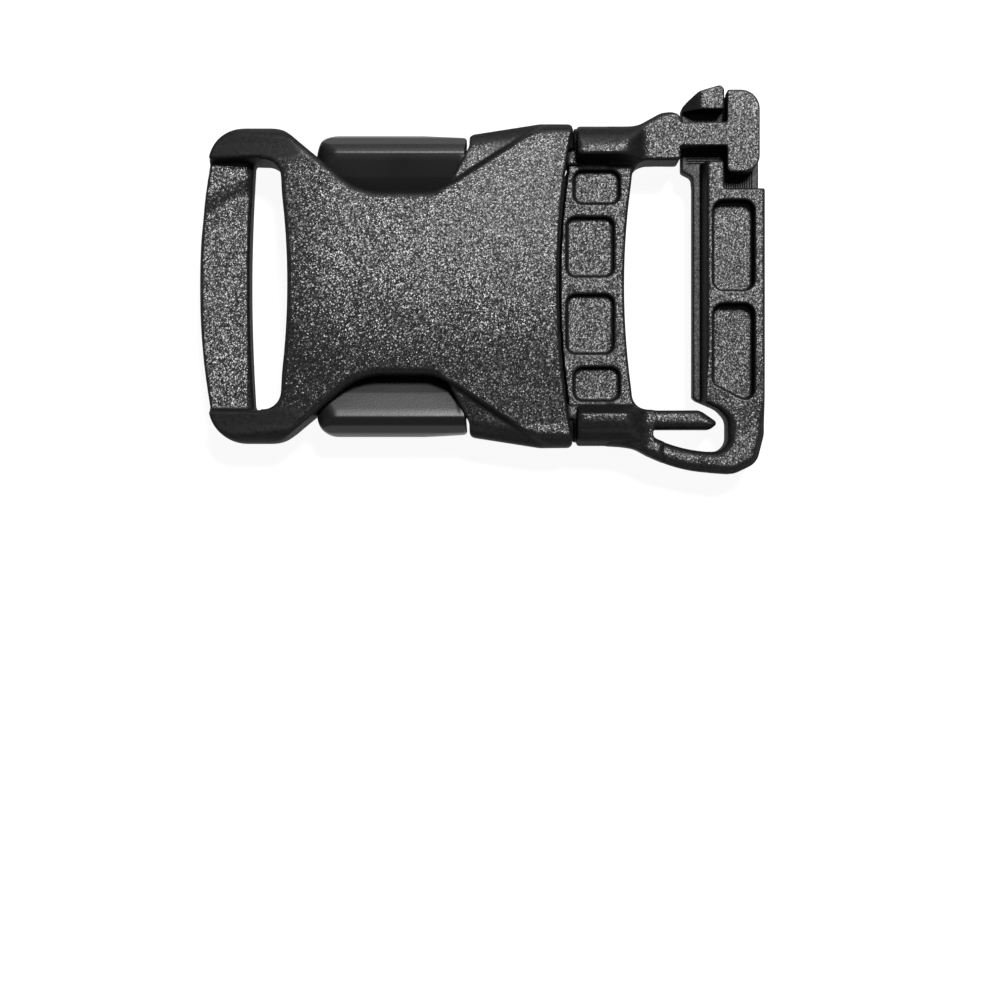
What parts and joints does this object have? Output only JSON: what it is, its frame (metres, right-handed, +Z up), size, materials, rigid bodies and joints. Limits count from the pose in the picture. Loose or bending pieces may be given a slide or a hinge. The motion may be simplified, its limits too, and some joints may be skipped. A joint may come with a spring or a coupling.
{
  "type": "side release buckle",
  "caption": "Black plastic side release buckle, fastened, with a web bar on the socket and a sprung split gate on the plug.",
  "frame": {"origin": "on the socket's flat underside, on the centreline across the buckle, about two thirds of the way from the socket's web bar to its mouth", "axes": "+X from the socket's web bar towards the plug's gate, +Y towards the T-head, +Z up out of the face that the buckle lies on"},
  "size_m": [0.059, 0.0403, 0.011],
  "materials": {
    "grained_plastic": "black moulded acetal with a fine bright grain, smooth on its sloping sides",
    "satin_plastic": "black moulded acetal, smooth and satin"
  },
  "bodies": {
    "buckle": {"socket": "grained_plastic", "plug": "grained_plastic", "link": "grained_plastic"},
    "prong_left": {"prong_left": "satin_plastic"},
    "prong_right": {"prong_right": "satin_plastic"},
    "gate": {"gate": "grained_plastic"}
  },
  "joints": [
    {"name": "squeeze_left", "type": "hinge", "parent": "buckle", "child": "prong_left", "pos_m": [0.0074, 0.0123, 0.0055], "axis": [0, 0, 1], "range_deg": [0, 9.5], "stiffness_Nm_per_rad": 0.5},
    {"name": "squeeze_right", "type": "hinge", "parent": "buckle", "child": "prong_right", "pos_m": [0.0074, -0.0123, 0.0055], "axis": [0, 0, -1], "range_deg": [0, 9.5], "stiffness_Nm_per_rad": 0.5},
    {"name": "gate_press", "type": "hinge", "parent": "buckle", "child": "gate", "pos_m": [0.0239, -0.01843, 0.0055], "axis": [-1, 0, 0], "range_deg": [0, 8], "stiffness_Nm_per_rad": 0.6}
  ]
}
